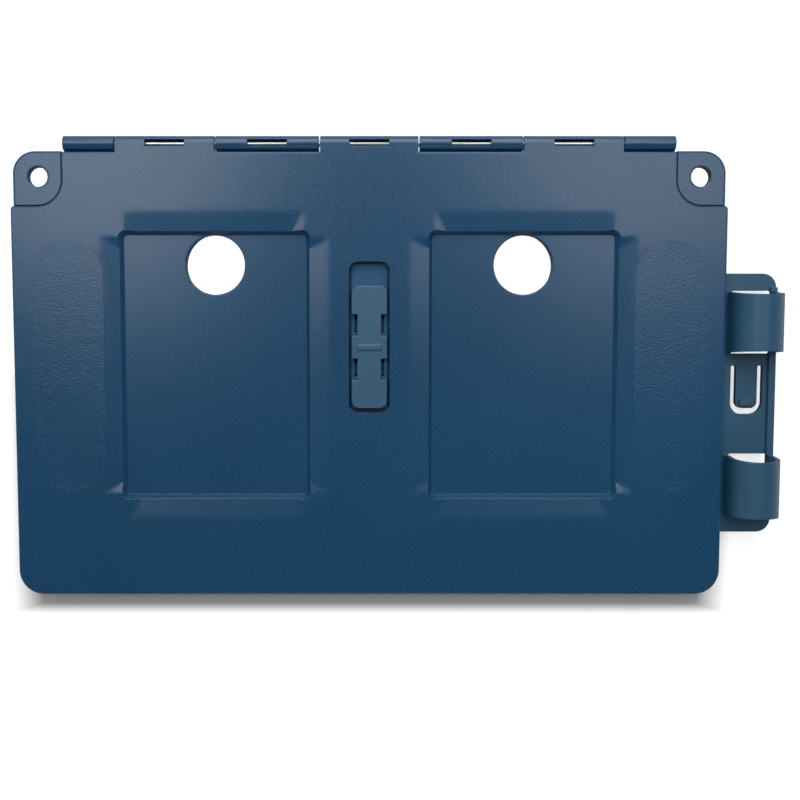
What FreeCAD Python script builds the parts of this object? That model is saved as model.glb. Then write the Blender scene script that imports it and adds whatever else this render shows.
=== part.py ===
import FreeCAD, Part
import Sketcher
import os
import re

# A thin folding game case in moulded plastic: a lid with two card wells and a sliding latch, a tray that
# holds the fleets, a steel hinge pin along the back edge and a clip-on marker holder at the right-hand side.
# The case lies closed on its back. +X is the holder side, +Y the hinge side, +Z the lid's face.
# The origin is the middle of the tray's back face.

# Driving sizes, in millimetres and degrees.
SIZES = {
    # Case shells
    "case_width": 250.6,
    "case_depth": 156.7,
    "case_thickness": 12.0,
    "corner_round": 8.8,
    "notch_round": 1.2,
    "inside_round": 0.6,
    "lid_plate": 1.8,
    "lid_edge_depth": 2.6,
    "lid_edge_wall": 2.0,
    "lid_front_round": 0.7,
    "parting_gap": 0.3,
    "tray_floor": 1.8,
    "tray_wall": 2.0,
    "tray_back_round": 1.0,
    # Corner ears with eyelets
    "ear_width": 17.6,
    "ear_length": 18.4,
    "ear_thickness": 2.8,
    "ear_drop": 1.2,
    "ear_edge_round": 0.9,
    "ear_inset": 0.6,
    "ear_reach": 0.4,
    "ear_outer_round": 7.8,
    "ear_lobe_round": 8.7,
    "ear_gap": 0.4,
    "eyelet_d": 6.9,
    "eyelet_inset_x": 9.5,
    "eyelet_inset_y": 8.6,
    # Hinge
    "barrel_d": 5.4,
    "hinge_gap": 0.3,
    "pin_d": 2.0,
    "pin_clearance": 0.05,
    "pin_end_inset": 1.0,
    "knuckle_gap": 0.5,
    "centre_knuckle": 34.7,
    "inner_knuckle": 36.4,
    "outer_knuckle": 35.0,
    "end_knuckle": 18.2,
    "sight_slot_length": 13.8,
    "sight_slot_width": 2.4,
    # Card wells
    "well_spacing": 108.6,
    "well_centre_y": 3.6,
    "well_width": 64.2,
    "well_length": 92.2,
    "well_drop": 2.0,
    "well_draft": 30.0,
    "well_floor": 1.6,
    "well_wall": 1.6,
    "well_round": 3.0,
    "ramp_width": 7.0,
    "ramp_depth": 0.7,
    "ramp_end_inset": 2.0,
    "ramp_end_slope": 4.0,
    "finger_hole_d": 20.8,
    "finger_hole_edge": 0.1,
    "finger_hole_step": 1.1,
    # Grained grip areas
    "grip_width": 25.4,
    "grip_length": 88.6,
    "grip_spacing": 212.0,
    "grip_centre_y": 3.4,
    "grip_sink": 0.25,
    # Latch recess and slider
    "recess_width": 14.4,
    "recess_length": 53.5,
    "recess_centre_y": 13.55,
    "recess_round": 3.3,
    "recess_depth": 3.2,
    "recess_floor": 1.6,
    "recess_wall": 1.6,
    "slider_side_gap": 0.9,
    "slider_length": 43.4,
    "slider_end_gap": 1.75,
    "slider_round": 2.8,
    "slider_thickness": 2.4,
    "slider_lift": 0.2,
    "slider_edge_round": 0.35,
    "slide_travel": 7.5,
    "slide_stop_gap": 0.5,
    "bite_depth": 2.1,
    "bite_length": 7.4,
    "bite_spacing": 15.6,
    "ridge_width": 8.8,
    "ridge_length": 2.0,
    "ridge_height": 0.8,
    "ridge_round": 0.9,
    "ridge_edge_round": 0.4,
    "leg_length": 4.5,
    "leg_thickness": 1.3,
    "lip_thickness": 1.0,
    "lip_gap": 0.3,
    "lip_grip": 0.6,
    "floor_ledge": 2.0,
    "stem_width": 2.0,
    "stem_length": 6.0,
    "foot_width": 8.0,
    "foot_thickness": 1.0,
    "foot_gap": 0.3,
    "slot_clearance": 0.2,
    # Keeper on the tray floor
    "keeper_length": 6.0,
    "keeper_wall": 1.4,
    "keeper_head": 1.0,
    "keeper_clearance": 0.6,
    "keeper_headroom": 0.7,
    # Marker holder
    "clip_width": 19.5,
    "clip_length": 93.0,
    "clip_centre_y": -10.2,
    "clip_base": 2.0,
    "clip_drop": 5.0,
    "clip_round": 4.9,
    "clip_flange": 1.8,
    "clip_flange_low": 1.6,
    "rail_width": 2.4,
    "rail_height": 1.5,
    "loop_spacing": 58.4,
    "loop_length": 21.4,
    "loop_taper": 0.9,
    "loop_bore": 14.0,
    "loop_wall": 1.6,
    "loop_leg": 5.8,
    "window_margin": 0.5,
    "tongue_width": 7.6,
    "tongue_length": 15.3,
    "tongue_slot": 1.9,
    "tongue_shift": 1.1,
    "tongue_end_slot": 2.2,
    "tongue_root_y": 3.5,
    "tongue_round": 2.4,
    "bump_width": 5.3,
    "bump_length": 2.5,
    "bump_height": 0.9,
    "bump_inset": 1.0,
    "hook_length": 10.0,
    "hook_thickness": 1.6,
    "hook_barb": 0.8,
    "hook_barb_length": 1.4,
    "hook_lift": 3.4,
    "hook_clearance": 0.1,
    # Grid sheets and fleets
    "sheet_thickness": 0.5,
    "sheet_margin": 1.5,
    "sheet_round": 2.0,
    "rack_wall_gap": 0.6,
    "rack_base": 0.8,
    "rack_rail": 1.0,
    "rack_rail_height": 2.2,
    "ship_clearance": 0.3,
    "ship_beam": 5.0,
    "ship_hull_height": 1.9,
    "ship_deck_height": 1.2,
    "ship_deck_beam": 2.6,
    "ship_bow": 4.0,
    "ship_stern": 1.6,
    "ship_stern_beam": 3.4,
    "cell_pitch": 6.0,
    "ship_end_gap": 0.5,
}

FLEET = (("carrier", 5), ("battleship", 4), ("cruiser", 3), ("submarine", 3), ("patrol_boat", 2))

doc = FreeCAD.newDocument("fleet_case")
sheet = doc.addObject("Spreadsheet::Sheet", "Dims")
for row, (size_name, size) in enumerate(SIZES.items(), 1):
    sheet.set(f"A{row}", size_name)
    sheet.set(f"B{row}", str(size))
    sheet.setAlias(f"B{row}", size_name)
doc.recompute()

SIZE_NAME = re.compile(r"\b(" + "|".join(SIZES) + r")\b")
TOLERANCE = 1e-4


def linked(text):
    """The expression with each size name pointing at its cell."""
    return SIZE_NAME.sub(r"Dims.\1", text)


def value(text):
    """The expression's present value in millimetres or degrees."""
    return float(sheet.evalExpression(linked(text)))


# Levels and places that several pieces share, as expressions of the sizes.
SIDE = "(case_width / 2)"
BACK = "(case_depth / 2)"
FRONT = "(-case_depth / 2)"
FACE = "case_thickness"
PLATE_UNDER = "(case_thickness - lid_plate)"
LID_EDGE = "(case_thickness - lid_edge_depth)"
TRAY_RIM = "(case_thickness - lid_edge_depth - parting_gap)"
AXIS_Y = "(case_depth / 2 + hinge_gap + barrel_d / 2)"
AXIS_Z = "(case_thickness - barrel_d / 2)"
WELL_TOP = "(case_thickness - ramp_depth - well_drop)"
WELL_UNDER = "(case_thickness - ramp_depth - well_drop - well_floor)"
FINGER_Y = "(well_centre_y + well_length / 2 - finger_hole_edge - finger_hole_d / 2)"
RECESS_TOP = "(case_thickness - recess_depth)"
RECESS_UNDER = "(case_thickness - recess_depth - recess_floor)"
SLIDER_Z = "(case_thickness - recess_depth + slider_lift)"
SLIDER_Y = "(recess_centre_y - recess_length / 2 + slider_end_gap + slider_length / 2)"
SLIDER_HALF = "(recess_width / 2 - slider_side_gap)"
LEDGE_X = "(recess_width / 2 - floor_ledge)"
LEG_X = "(recess_width / 2 - slider_side_gap - bite_depth)"
LIP_Z = "(case_thickness - recess_depth - recess_floor - lip_gap - lip_thickness)"
KEEPER_TOP = f"({LIP_Z} - keeper_headroom)"
FOOT_Z = f"({KEEPER_TOP} - keeper_head - foot_gap - foot_thickness)"
CLIP_FRONT = "(case_thickness - clip_drop)"
CLIP_UNDER = "(case_thickness - clip_drop - clip_base)"
CLIP_OUTER = "(case_width / 2 + clip_width)"
LOOP_HALF = "(loop_bore / 2 + loop_wall)"
LOOP_X = f"({CLIP_OUTER} - {LOOP_HALF})"
LOOP_AXIS_Z = f"({CLIP_FRONT} + loop_leg)"


def new_body(label):
    """An empty body that becomes the sub-part of that name."""
    body = doc.addObject("PartDesign::Body", label)
    body.Label = label
    return body


def new_sketch(body, plane, offset):
    """A sketch parallel to one of the body's own origin planes."""
    sketch = body.newObject("Sketcher::SketchObject", f"{body.Name}_sketch")
    support = next(item for item in body.Origin.OriginFeatures if item.Role == plane)
    sketch.AttachmentSupport = [(support, "")]
    sketch.MapMode = "FlatFace"
    sketch.setExpression("AttachmentOffset.Base.z", linked(offset))
    return sketch


def bind(sketch, constraint, text):
    """Adds a dimension and binds it to its expression."""
    index = sketch.addConstraint(Sketcher.Constraint(*constraint, value(text)))
    sketch.setExpression(f"Constraints[{index}]", linked(text))


def point_of(sketch, curve, place):
    """Which end of a sketch curve lies at a place: 1 for its start, 2 for its end."""
    return 1 if sketch.getPoint(curve, 1).distanceToPoint(place) < TOLERANCE else 2


def outline(sketch, corners):
    """A closed outline of level and upright lines. Each corner is x, y and its round, as expressions."""
    points = [FreeCAD.Vector(value(x), value(y), 0) for x, y, turn in corners]
    rounds = [value(turn) for x, y, turn in corners]
    count = len(points)
    ahead = [(points[(i + 1) % count] - points[i]).normalize() for i in range(count)]
    lines = []
    for i in range(count):
        start = points[i] + ahead[i] * rounds[i]
        end = points[(i + 1) % count] - ahead[i] * rounds[(i + 1) % count]
        lines.append(sketch.addGeometry(Part.LineSegment(start, end)))
        level = abs(ahead[i].x) > abs(ahead[i].y)
        sketch.addConstraint(Sketcher.Constraint("Horizontal" if level else "Vertical", lines[i]))
    for i in range(count):
        before = lines[i - 1]
        if rounds[i] > TOLERANCE:
            start = points[i] - ahead[i - 1] * rounds[i]
            end = points[i] + ahead[i] * rounds[i]
            centre = start + ahead[i] * rounds[i]
            middle = centre + (points[i] - centre).normalize() * rounds[i]
            arc = sketch.addGeometry(Part.Arc(start, middle, end))
            first = point_of(sketch, arc, start)
            sketch.addConstraint(Sketcher.Constraint("Tangent", before, 2, arc, first))
            sketch.addConstraint(Sketcher.Constraint("Tangent", lines[i], 1, arc, 3 - first))
            bind(sketch, ("Radius", arc), corners[i][2])
        else:
            sketch.addConstraint(Sketcher.Constraint("Coincident", before, 2, lines[i], 1))
        level = abs(ahead[i].x) > abs(ahead[i].y)
        if level:
            bind(sketch, ("DistanceY", -1, 1, lines[i], 1), corners[i][1])
        else:
            bind(sketch, ("DistanceX", -1, 1, lines[i], 1), corners[i][0])


def rectangle(sketch, x0, x1, y0, y1, turn="0"):
    """An upright rectangle with one round for its four corners."""
    outline(sketch, [(x0, y0, turn), (x1, y0, turn), (x1, y1, turn), (x0, y1, turn)])


def centred(sketch, x, y, width, length, turn="0"):
    """A rectangle given by its middle and its two sides."""
    rectangle(sketch, f"{x} - ({width}) / 2", f"{x} + ({width}) / 2",
              f"{y} - ({length}) / 2", f"{y} + ({length}) / 2", turn)


def disc(sketch, x, y, diameter):
    """A circle given by its middle and its diameter."""
    centre = FreeCAD.Vector(value(x), value(y), 0)
    circle = sketch.addGeometry(Part.Circle(centre, FreeCAD.Vector(0, 0, 1), value(diameter) / 2))
    bind(sketch, ("Diameter", circle), diameter)
    bind(sketch, ("DistanceX", -1, 1, circle, 3), x)
    bind(sketch, ("DistanceY", -1, 1, circle, 3), y)


def polygon(sketch, corners):
    """A closed outline of straight lines through the corners, each an x and a y expression."""
    points = [FreeCAD.Vector(value(x), value(y), 0) for x, y in corners]
    count = len(points)
    lines = []
    for i in range(count):
        lines.append(sketch.addGeometry(Part.LineSegment(points[i], points[(i + 1) % count])))
    for i in range(count):
        sketch.addConstraint(Sketcher.Constraint("Coincident", lines[i - 1], 2, lines[i], 1))
        bind(sketch, ("DistanceX", -1, 1, lines[i], 1), corners[i][0])
        bind(sketch, ("DistanceY", -1, 1, lines[i], 1), corners[i][1])


def arch(sketch, x, foot, spring, radius):
    """A doorway outline: two upright legs from the foot level and a half circle on the spring level."""
    middle, low, high, turn = value(x), value(foot), value(spring), value(radius)
    ends = [FreeCAD.Vector(middle + side * turn, level, 0) for side in (-1, 1) for level in (low, high)]
    left = sketch.addGeometry(Part.LineSegment(ends[0], ends[1]))
    right = sketch.addGeometry(Part.LineSegment(ends[3], ends[2]))
    sill = sketch.addGeometry(Part.LineSegment(ends[2], ends[0]))
    crown = FreeCAD.Vector(middle, high + turn, 0)
    arc = sketch.addGeometry(Part.Arc(ends[1], crown, ends[3]))
    first = point_of(sketch, arc, ends[1])
    sketch.addConstraint(Sketcher.Constraint("Tangent", left, 2, arc, first))
    sketch.addConstraint(Sketcher.Constraint("Tangent", right, 1, arc, 3 - first))
    sketch.addConstraint(Sketcher.Constraint("Coincident", right, 2, sill, 1))
    sketch.addConstraint(Sketcher.Constraint("Coincident", sill, 2, left, 1))
    sketch.addConstraint(Sketcher.Constraint("Vertical", left))
    sketch.addConstraint(Sketcher.Constraint("Horizontal", sill))
    bind(sketch, ("Radius", arc), radius)
    bind(sketch, ("DistanceX", -1, 1, arc, 3), x)
    bind(sketch, ("DistanceY", -1, 1, arc, 3), spring)
    bind(sketch, ("DistanceY", -1, 1, sill, 1), foot)


volumes = {}


def check_change(body, grows):
    """Stops if the newest feature left the body's volume as it was, or changed it the wrong way."""
    doc.recompute()
    before = volumes.get(body.Name, 0.0)
    volumes[body.Name] = body.Shape.Volume
    change = volumes[body.Name] - before
    if (change if grows else -change) < TOLERANCE:
        raise RuntimeError(f"{body.Tip.Name} in {body.Label} changed the volume by {change:.4f}")


def pad(body, sketch, length, backward=False, taper=None):
    """Adds the sketch's outline, drawn out along the sketch's normal or against it."""
    feature = body.newObject("PartDesign::Pad", f"{body.Name}_pad")
    feature.Profile = sketch
    feature.Reversed = backward
    feature.setExpression("Length", linked(length))
    if taper:
        feature.setExpression("TaperAngle", linked(taper))
    check_change(body, True)
    return feature


def pocket(body, sketch, length, forward=False, taper=None):
    """Cuts the sketch's outline against the sketch's normal, or along it where forward is set."""
    feature = body.newObject("PartDesign::Pocket", f"{body.Name}_pocket")
    feature.Profile = sketch
    feature.Reversed = forward
    feature.setExpression("Length", linked(length))
    if taper:
        feature.setExpression("TaperAngle", linked(taper))
    check_change(body, False)
    return feature


def block(body, x0, x1, y0, y1, z0, height, turn="0"):
    """Adds an upright block, given by its plan and its lowest level."""
    sketch = new_sketch(body, "XY_Plane", z0)
    rectangle(sketch, x0, x1, y0, y1, turn)
    return pad(body, sketch, height)


def soften(body, radius, chosen):
    """Rounds the edges that the test picks, each given by its end points."""
    base = body.Tip
    names = []
    for index, edge in enumerate(base.Shape.Edges, 1):
        if chosen(edge):
            names.append(f"Edge{index}")
    feature = body.newObject("PartDesign::Fillet", f"{body.Name}_round")
    feature.Base = (base, names)
    feature.setExpression("Radius", linked(radius))
    check_change(body, False)
    return feature


def lies_at(level):
    """A test for edges that lie wholly at one height."""
    height = value(level)
    return lambda edge: all(abs(point.Point.z - height) < TOLERANCE for point in edge.Vertexes)


def lies_outside(level):
    """A test for edges at one height that face away from the lid, round the outer corner of an ear."""
    at_level = lies_at(level)
    side = value("case_width / 2 - ear_inset - ear_outer_round / 2")
    back = value(f"{BACK} - ear_outer_round / 2")
    return lambda edge: at_level(edge) and (abs(edge.CenterOfMass.x) > side or edge.CenterOfMass.y > back)


def wedge(body, kind, plan, deep, top, depth):
    """A ramp-shaped solid that narrows from its plan at the top level to its deep plan at the depth.
    Each plan is x0, x1, y0, y1. The solid's own Y runs down and its own Z runs along +Y."""
    feature = body.newObject(f"PartDesign::{kind}Wedge", f"{body.Name}_ramp")
    feature.Placement = FreeCAD.Placement(FreeCAD.Vector(), FreeCAD.Rotation(FreeCAD.Vector(1, 0, 0), -90))
    sides = {"Xmin": plan[0], "Xmax": plan[1], "Zmin": plan[2], "Zmax": plan[3],
             "X2min": deep[0], "X2max": deep[1], "Z2min": deep[2], "Z2max": deep[3],
             "Ymin": "0", "Ymax": depth, "Placement.Base.z": top}
    for name, text in sides.items():
        feature.setExpression(name, linked(text))
    check_change(body, kind == "Additive")


def case_corners(inset, gap, tip_round):
    """The shells' plan: a rectangle with a rounded notch round each ear, drawn in by the inset."""
    x = f"(case_width / 2 - {inset})"
    front = f"(-case_depth / 2 + {inset})"
    back = f"(case_depth / 2 - {inset})"
    notch_x = f"(case_width / 2 - ear_width - {gap} - {inset})"
    notch_y = f"(case_depth / 2 - ear_length - {gap} - {inset})"
    corner = f"corner_round - {inset}"
    lobe = f"ear_lobe_round + {gap} + {inset}"
    return [(f"-{x}", front, corner), (x, front, corner), (x, notch_y, tip_round), (notch_x, notch_y, lobe),
            (notch_x, back, tip_round), (f"-{notch_x}", back, tip_round), (f"-{notch_x}", notch_y, lobe),
            (f"-{x}", notch_y, tip_round)]


CENTRE_END = "(centre_knuckle / 2)"
INNER_END = "(centre_knuckle / 2 + inner_knuckle)"
OUTER_END = "(centre_knuckle / 2 + inner_knuckle + outer_knuckle)"
HALF_HINGE = "(centre_knuckle / 2 + inner_knuckle + outer_knuckle + end_knuckle)"


def both_sides(low, high):
    """An X span and its mirror image at the other side of the case."""
    return [(low, high), (f"-{high}", f"-{low}")]


LID_KNUCKLES = [(f"-{CENTRE_END}", CENTRE_END)] + both_sides(INNER_END, OUTER_END)
INNER_KNUCKLES = both_sides(CENTRE_END, INNER_END)
TRAY_KNUCKLES = INNER_KNUCKLES + both_sides(OUTER_END, HALF_HINGE)


def add_knuckles(body, own, between, slotted, reach, web_low, web_high):
    """Hinge barrels on webs from the shell's back edge, bored for the pin and slotted to show it."""
    plan = new_sketch(body, "XY_Plane", web_low)
    for low, high in own:
        rectangle(plan, f"{low} + knuckle_gap / 2", f"{high} - knuckle_gap / 2",
                  f"{BACK} - tray_wall", AXIS_Y)
    pad(body, plan, f"{web_high} - {web_low}")
    barrel = new_sketch(body, "YZ_Plane", f"knuckle_gap / 2 - {reach}")
    disc(barrel, AXIS_Y, AXIS_Z, "barrel_d")
    pad(body, barrel, f"2 * {reach} - knuckle_gap")
    plan = new_sketch(body, "XY_Plane", FACE)
    for low, high in between:
        rectangle(plan, f"{low} - knuckle_gap / 2", f"{high} + knuckle_gap / 2", BACK, f"{AXIS_Y} + barrel_d")
    pocket(body, plan, "barrel_d")
    bore = new_sketch(body, "YZ_Plane", HALF_HINGE)
    disc(bore, AXIS_Y, AXIS_Z, "pin_d + 2 * pin_clearance")
    pocket(body, bore, f"2 * {HALF_HINGE}")
    plan = new_sketch(body, "XY_Plane", FACE)
    for low, high in slotted:
        centred(plan, f"({low} + {high}) / 2", AXIS_Y, "sight_slot_length", "sight_slot_width")
    pocket(body, plan, "barrel_d / 2")


# Lid: one moulding with a shallow edge, two card wells, the latch recess and three hinge knuckles.
lid = new_body("lid_shell")
plan = new_sketch(lid, "XY_Plane", LID_EDGE)
outline(plan, case_corners("0", "ear_gap", "notch_round"))
pad(lid, plan, "lid_edge_depth")
soften(lid, "lid_front_round", lies_at(FACE))
plan = new_sketch(lid, "XY_Plane", LID_EDGE)
outline(plan, case_corners("lid_edge_wall", "ear_gap", "inside_round"))
pocket(lid, plan, "lid_edge_depth - lid_plate", forward=True)

# Card wells: a drafted pan under the plate, with a ramp along each side that stops short of the corners.
DRAFT = "tan(well_draft * 1deg)"
FLARE = f"(2 * (ramp_depth + well_drop) * {DRAFT})"
RIM_WIDE = f"(well_width / 2 + well_drop * {DRAFT})"
RIM_LONG = f"(well_length / 2 + well_drop * {DRAFT})"
WELLS = ("(-well_spacing / 2)", "(well_spacing / 2)")


def ramp_plans(well_x):
    """The four ramps of one well: each has its plan at the plate and its narrower plan at full depth."""
    across = [f"({well_x} - {RIM_WIDE} + ramp_end_inset)", f"({well_x} + {RIM_WIDE} - ramp_end_inset)"]
    along = [f"(well_centre_y - {RIM_LONG} + ramp_end_inset)",
             f"(well_centre_y + {RIM_LONG} - ramp_end_inset)"]
    deep_across = [f"({across[0]} + ramp_end_slope)", f"({across[1]} - ramp_end_slope)"]
    deep_along = [f"({along[0]} + ramp_end_slope)", f"({along[1]} - ramp_end_slope)"]
    west = f"({well_x} - {RIM_WIDE})"
    east = f"({well_x} + {RIM_WIDE})"
    south = f"(well_centre_y - {RIM_LONG})"
    north = f"(well_centre_y + {RIM_LONG})"
    return [([f"{west} - ramp_width", f"{west} + well_wall"] + along,
             [west, f"{west} + well_wall"] + deep_along),
            ([f"{east} - well_wall", f"{east} + ramp_width"] + along,
             [f"{east} - well_wall", east] + deep_along),
            (across + [f"{south} - ramp_width", f"{south} + well_wall"],
             deep_across + [south, f"{south} + well_wall"]),
            (across + [f"{north} - well_wall", f"{north} + ramp_width"],
             deep_across + [f"{north} - well_wall", north])]


plan = new_sketch(lid, "XY_Plane", WELL_UNDER)
for well_x in WELLS:
    centred(plan, well_x, "well_centre_y", "well_width + 2 * well_wall", "well_length + 2 * well_wall",
            f"well_round + well_wall - {FLARE} / 2")
pad(lid, plan, f"{PLATE_UNDER} - {WELL_UNDER} + lid_plate / 2", taper="well_draft")
for well_x in WELLS:
    for plate_plan, deep_plan in ramp_plans(well_x):
        wedge(lid, "Additive", plate_plan, deep_plan, PLATE_UNDER, "ramp_depth")
plan = new_sketch(lid, "XY_Plane", FACE)
for well_x in WELLS:
    centred(plan, well_x, "well_centre_y", f"well_width + {FLARE}", f"well_length + {FLARE}", "well_round")
pocket(lid, plan, "ramp_depth + well_drop", taper="-well_draft")
for well_x in WELLS:
    for plate_plan, deep_plan in ramp_plans(well_x):
        wedge(lid, "Subtractive", plate_plan, deep_plan, FACE, "ramp_depth")
plan = new_sketch(lid, "XY_Plane", WELL_TOP)
for well_x in WELLS:
    disc(plan, well_x, FINGER_Y, "finger_hole_d")
pocket(lid, plan, "well_floor")

# Grip areas: two shallow beds with round ends, one at each side of the wells.
plan = new_sketch(lid, "XY_Plane", FACE)
for grip_x in ("(-grip_spacing / 2)", "(grip_spacing / 2)"):
    centred(plan, grip_x, "grip_centre_y", "grip_width", "grip_length", "grip_width / 2 - grip_sink")
pocket(lid, plan, "grip_sink")

# Latch recess: a pan with slots in its floor for the slider's four snap legs and its locking foot.
plan = new_sketch(lid, "XY_Plane", RECESS_UNDER)
centred(plan, "0", "recess_centre_y", "recess_width + 2 * recess_wall", "recess_length + 2 * recess_wall",
        "recess_round + recess_wall")
pad(lid, plan, f"{PLATE_UNDER} - {RECESS_UNDER} + lid_plate / 2")
plan = new_sketch(lid, "XY_Plane", FACE)
centred(plan, "0", "recess_centre_y", "recess_width", "recess_length", "recess_round")
pocket(lid, plan, "recess_depth")
LEG_ROWS = [f"({SLIDER_Y} {row} bite_spacing / 2)" for row in ("-", "+")]
LEG_INNER = f"({LEG_X} - leg_thickness)"
plan = new_sketch(lid, "XY_Plane", RECESS_TOP)
for leg_y in LEG_ROWS:
    for low, high in both_sides(f"({LEG_INNER} - slot_clearance)", LEDGE_X):
        rectangle(plan, low, high, f"{leg_y} - leg_length / 2 - slide_stop_gap",
                  f"{leg_y} + leg_length / 2 + slide_stop_gap + slide_travel")
rectangle(plan, "-(stem_width / 2 + slot_clearance)", "stem_width / 2 + slot_clearance",
          f"{SLIDER_Y} - stem_length / 2 - slide_stop_gap",
          f"{SLIDER_Y} + stem_length / 2 + slide_stop_gap + slide_travel")
pocket(lid, plan, "recess_floor")
add_knuckles(lid, LID_KNUCKLES, INNER_KNUCKLES, LID_KNUCKLES, OUTER_END, LID_EDGE, FACE)

# Tray: the deep half, with ears at its back corners, four hinge knuckles and the latch keeper.
tray = new_body("tray_shell")
plan = new_sketch(tray, "XY_Plane", "0")
outline(plan, case_corners("0", "0", "0"))
pad(tray, plan, TRAY_RIM)
soften(tray, "tray_back_round", lies_at("0"))
plan = new_sketch(tray, "XY_Plane", TRAY_RIM)
outline(plan, case_corners("tray_wall", "0", "inside_round"))
pocket(tray, plan, f"{TRAY_RIM} - tray_floor")
plan = new_sketch(tray, "XY_Plane", "case_thickness - ear_drop - ear_thickness")
for side in ("-", ""):
    outer_x = f"({side}(case_width / 2 - ear_inset))"
    inner_x = f"({side}(case_width / 2 - ear_width))"
    inner_y = f"({BACK} - ear_length)"
    outer_y = f"({BACK} + ear_reach)"
    outline(plan, [(inner_x, inner_y, "ear_lobe_round"), (outer_x, inner_y, "0"),
                   (outer_x, outer_y, "ear_outer_round"), (inner_x, outer_y, "0")])
pad(tray, plan, "ear_thickness")
soften(tray, "ear_edge_round", lies_outside("case_thickness - ear_drop"))
plan = new_sketch(tray, "XY_Plane", "case_thickness - ear_drop")
for side in ("-", ""):
    disc(plan, f"({side}(case_width / 2 - eyelet_inset_x))", f"{BACK} - eyelet_inset_y", "eyelet_d")
pocket(tray, plan, "ear_thickness")
plan = new_sketch(tray, "XY_Plane", "tray_floor")
for well_x in WELLS:
    disc(plan, well_x, FINGER_Y, "finger_hole_d + 2 * finger_hole_step")
pocket(tray, plan, "tray_floor")
BARREL_LOW = f"({AXIS_Z} - barrel_d / 2)"
add_knuckles(tray, TRAY_KNUCKLES, LID_KNUCKLES, INNER_KNUCKLES, HALF_HINGE, BARREL_LOW, TRAY_RIM)

# Latch keeper: two walls on the tray floor whose heads reach in over the slider's foot when it is locked.
KEEPER_Y = f"({SLIDER_Y} + stem_length / 2 + keeper_clearance)"
KEEPER_X = "(foot_width / 2 + keeper_clearance)"
KEEPER_OUTER = f"({KEEPER_X} + keeper_wall)"
plan = new_sketch(tray, "XY_Plane", "tray_floor")
for low, high in both_sides(KEEPER_X, KEEPER_OUTER):
    rectangle(plan, low, high, KEEPER_Y, f"{KEEPER_Y} + keeper_length")
pad(tray, plan, f"{KEEPER_TOP} - tray_floor")
plan = new_sketch(tray, "XY_Plane", f"{KEEPER_TOP} - keeper_head")
for low, high in both_sides("(stem_width / 2 + keeper_clearance)", KEEPER_OUTER):
    rectangle(plan, low, high, KEEPER_Y, f"{KEEPER_Y} + keeper_length")
pad(tray, plan, "keeper_head")

# Slots in the tray's right-hand wall for the marker holder's two hooks.
LOOP_ROWS = [f"(clip_centre_y {row} loop_spacing / 2)" for row in ("-", "+")]
plan = new_sketch(tray, "YZ_Plane", SIDE)
for loop_y in LOOP_ROWS:
    centred(plan, loop_y, "hook_lift", "hook_length + 2 * hook_clearance",
            "hook_thickness + 2 * hook_clearance")
pocket(tray, plan, "tray_wall")

# Hinge pin: a plain steel rod through all seven knuckles.
pin = new_body("hinge_pin")
plan = new_sketch(pin, "YZ_Plane", f"pin_end_inset - {HALF_HINGE}")
disc(plan, AXIS_Y, AXIS_Z, "pin_d")
pad(pin, plan, f"2 * ({HALF_HINGE} - pin_end_inset)")


def slider_corners():
    """The slider's plan: a rounded rectangle with two bites in each long edge."""
    inner = f"({SLIDER_HALF} - bite_depth)"
    right = []
    for leg_y in LEG_ROWS:
        bite_low = f"({leg_y} - bite_length / 2)"
        bite_high = f"({leg_y} + bite_length / 2)"
        right += [(SLIDER_HALF, bite_low), (inner, bite_low), (inner, bite_high), (SLIDER_HALF, bite_high)]
    left = [(f"-{x}", y) for x, y in reversed(right)]
    low = f"({SLIDER_Y} - slider_length / 2)"
    high = f"({SLIDER_Y} + slider_length / 2)"
    corners = [(f"-{SLIDER_HALF}", low, "slider_round"), (SLIDER_HALF, low, "slider_round")]
    corners += [(x, y, "0") for x, y in right]
    corners += [(SLIDER_HALF, high, "slider_round"), (f"-{SLIDER_HALF}", high, "slider_round")]
    return corners + [(x, y, "0") for x, y in left]


# Latch slider: a plate with four bites in its edges, a thumb ridge, snap legs under the bites and a foot.
slider = new_body("latch_slider")
SLIDER_TOP = f"({SLIDER_Z} + slider_thickness)"
plan = new_sketch(slider, "XY_Plane", SLIDER_Z)
outline(plan, slider_corners())
pad(slider, plan, "slider_thickness")
soften(slider, "slider_edge_round", lies_at(SLIDER_TOP))
plan = new_sketch(slider, "XY_Plane", SLIDER_TOP)
centred(plan, "0", SLIDER_Y, "ridge_width", "ridge_length", "ridge_round")
pad(slider, plan, "ridge_height")
soften(slider, "ridge_edge_round", lies_at(f"{SLIDER_TOP} + ridge_height"))
legs = new_sketch(slider, "XY_Plane", LIP_Z)
lips = new_sketch(slider, "XY_Plane", LIP_Z)
for leg_y in LEG_ROWS:
    leg_span = [f"{leg_y} - leg_length / 2", f"{leg_y} + leg_length / 2"]
    for low, high in both_sides(LEG_INNER, LEG_X):
        rectangle(legs, low, high, *leg_span)
    for low, high in both_sides(LEG_X, f"({LEDGE_X} + lip_grip)"):
        rectangle(lips, low, high, *leg_span)
pad(slider, legs, f"{SLIDER_Z} - {LIP_Z}")
pad(slider, lips, "lip_thickness")
STEM_SPAN = [f"{SLIDER_Y} - stem_length / 2", f"{SLIDER_Y} + stem_length / 2"]
block(slider, "-stem_width / 2", "stem_width / 2", *STEM_SPAN, FOOT_Z, f"{SLIDER_Z} - {FOOT_Z}")
block(slider, "-foot_width / 2", "foot_width / 2", *STEM_SPAN, FOOT_Z, "foot_thickness")

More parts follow.
